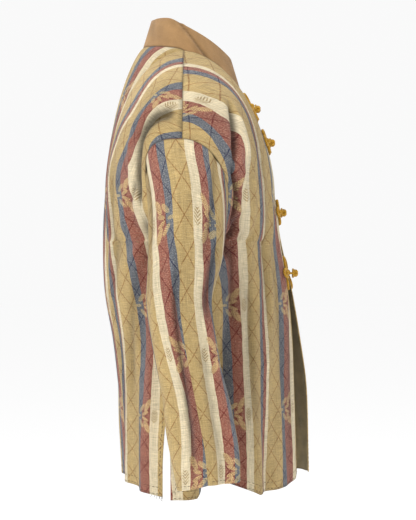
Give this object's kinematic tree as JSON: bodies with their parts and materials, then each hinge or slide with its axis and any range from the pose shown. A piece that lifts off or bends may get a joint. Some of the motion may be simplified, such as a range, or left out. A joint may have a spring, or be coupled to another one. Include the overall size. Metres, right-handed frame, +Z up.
{
  "type": "striped coat with a stand collar and cord frogs",
  "caption": "Hip-length striped coat with a stand collar, straight dropped sleeves, side vents and cord frogs down an open front, in its worn hollow form.",
  "frame": {"origin": "middle of the neck base, level with the neck points, where the wearer's shoulders hold the coat", "axes": "+Z up, -Y toward the wearer's front, -X toward the wearer's right side"},
  "size_m": [0.5648, 0.343, 0.771],
  "materials": {
    "striped_cloth": "woven stripes of khaki gold, brick red, grey blue and cream with a fine dark lattice and leaf sprays",
    "collar_cloth": "plain tan cotton, slightly worn at the top edge",
    "frog_cord": "twisted mustard yellow cord"
  },
  "bodies": {
    "root": {"back": "striped_cloth", "front_right": "striped_cloth", "front_left": "striped_cloth", "sleeve_right": "striped_cloth", "sleeve_left": "striped_cloth", "collar": "collar_cloth", "frog_1_knot": "frog_cord", "frog_1_loop": "frog_cord", "frog_2_knot": "frog_cord", "frog_2_loop": "frog_cord", "frog_3_knot": "frog_cord", "frog_3_loop": "frog_cord", "frog_4_knot": "frog_cord", "frog_4_loop": "frog_cord"}
  },
  "joints": []
}
